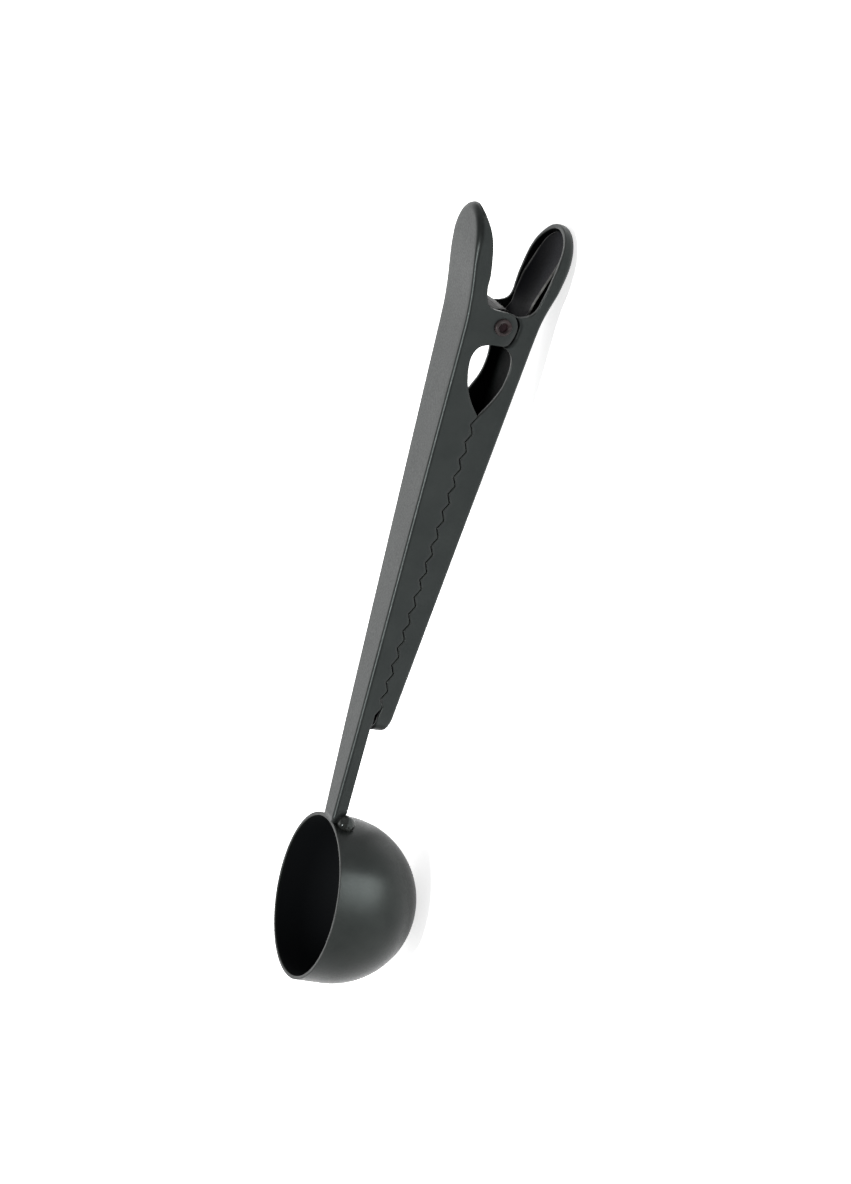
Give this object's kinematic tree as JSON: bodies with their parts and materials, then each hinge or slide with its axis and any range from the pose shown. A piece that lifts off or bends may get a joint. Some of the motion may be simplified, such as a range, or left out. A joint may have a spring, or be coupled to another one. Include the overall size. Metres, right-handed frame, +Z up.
{
  "type": "bag clip",
  "caption": "Matt black steel bag clip with toothed jaws whose long lever ends in a round coffee measuring scoop.",
  "frame": {"origin": "centre of the footprint, on the surface the scoop lies on", "axes": "+X runs from the thumb handles to the bowl, +Z is up out of the bowl, Y is parallel to the pivot"},
  "size_m": [0.1732, 0.0362, 0.0249],
  "materials": {
    "black_coat": "satin",
    "rivet_metal": "satin",
    "bare_steel": "satin",
    "spring_steel": "satin"
  },
  "bodies": {
    "scoop": {"scoop_arm": "black_coat", "scoop_bowl": "black_coat", "weld_bead_near": "black_coat", "weld_bead_far": "black_coat", "pivot_rivet": "rivet_metal", "pivot_sleeve": "bare_steel", "leaf_spring": "spring_steel"},
    "jaw": {"clip_jaw": "black_coat"}
  },
  "joints": [
    {"name": "jaw_hinge", "type": "hinge", "parent": "scoop", "child": "jaw", "pos_m": [-0.06284, 0, 0.01274], "axis": [0, 1, 0], "range_deg": [0, 42], "stiffness_Nm_per_rad": 0.12, "springref_deg": -20.05, "deforming": ["leaf_spring"]}
  ]
}
